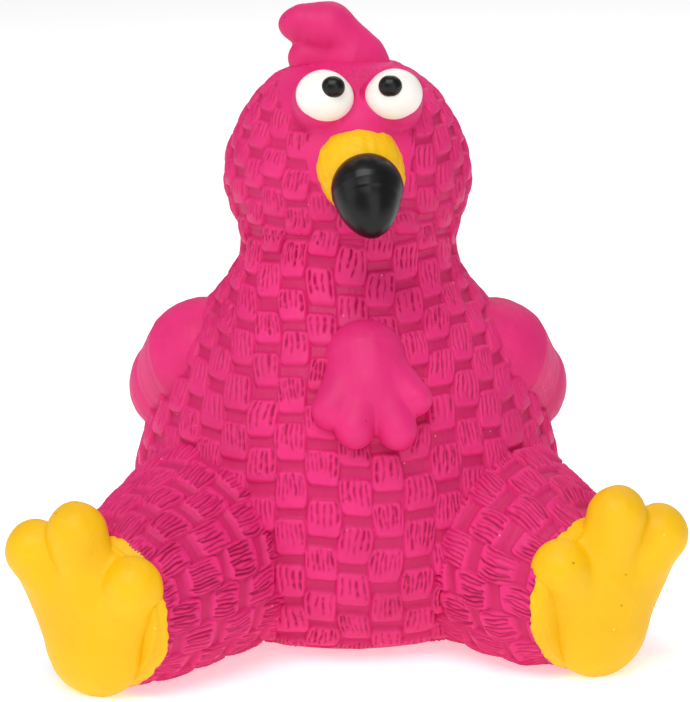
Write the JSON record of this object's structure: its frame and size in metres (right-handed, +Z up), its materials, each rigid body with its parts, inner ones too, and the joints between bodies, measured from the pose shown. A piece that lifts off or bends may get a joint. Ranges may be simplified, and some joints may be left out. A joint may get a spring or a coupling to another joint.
{
  "type": "rubber chicken",
  "caption": "Seated fat rubber chicken of stuffed latex with a basket-weave texture, bulging eyes, hooked beak, flopping crest and splayed bending legs, and a squeaker in its seat.",
  "frame": {"origin": "on the floor, on the upright axis of the body, at the middle of the flat seat", "axes": "+X towards the bird's own left, -Y ahead of the bird, +Z up"},
  "size_m": [0.1504, 0.1367, 0.1447],
  "materials": {
    "pink_latex": "satin, hand-textured",
    "yellow_latex": "satin",
    "black_latex": "gloss paint",
    "white_latex": "satin",
    "polyester_fibre": "loose white wadding",
    "white_plastic": "moulded",
    "brass": "thin strip"
  },
  "bodies": {
    "torso": {"torso_skin": "pink_latex", "torso_filling": "polyester_fibre", "breast_tuft": "pink_latex", "tail": "pink_latex", "left_wing": "pink_latex", "right_wing": "pink_latex", "squeaker_housing": "white_plastic", "squeaker_cap": "white_plastic", "squeaker_reed_block": "white_plastic", "squeaker_reed_clip": "white_plastic"},
    "reed": {"squeaker_reed": "brass"},
    "head": {"head_skin": "pink_latex", "head_filling": "polyester_fibre", "beak_base": "yellow_latex", "beak_tip": "black_latex", "left_eye": "white_latex", "right_eye": "white_latex", "left_pupil": "black_latex", "right_pupil": "black_latex"},
    "crest_flap": {"crest": "pink_latex"},
    "left_leg": {"left_leg_skin": "pink_latex", "left_leg_filling": "polyester_fibre", "left_foot": "yellow_latex"},
    "right_leg": {"right_leg_skin": "pink_latex", "right_leg_filling": "polyester_fibre", "right_foot": "yellow_latex"}
  },
  "joints": [
    {"name": "head_nod", "type": "hinge", "parent": "torso", "child": "head", "pos_m": [0, 0, 0.1028], "axis": [1, 0, 0], "range_deg": [-10, 10], "stiffness_Nm_per_rad": 0.3},
    {"name": "crest_flop", "type": "hinge", "parent": "head", "child": "crest_flap", "pos_m": [-0.001, 0, 0.1316], "axis": [1, 0, 0], "range_deg": [-8, 8], "stiffness_Nm_per_rad": 0.02},
    {"name": "left_leg_lift", "type": "hinge", "parent": "torso", "child": "left_leg", "pos_m": [0.022, -0.014, 0.024], "axis": [-0.7401, -0.6725, 0], "range_deg": [0, 10], "stiffness_Nm_per_rad": 0.3},
    {"name": "right_leg_lift", "type": "hinge", "parent": "torso", "child": "right_leg", "pos_m": [-0.022, -0.018, 0.024], "axis": [-0.8133, 0.5819, 0], "range_deg": [0, 10], "stiffness_Nm_per_rad": 0.3},
    {"name": "reed_shiver", "type": "hinge", "parent": "torso", "child": "reed", "pos_m": [0, 0.0116, 0.0109], "axis": [1, 0, 0], "range_deg": [0, 2], "stiffness_Nm_per_rad": 0.0002}
  ]
}
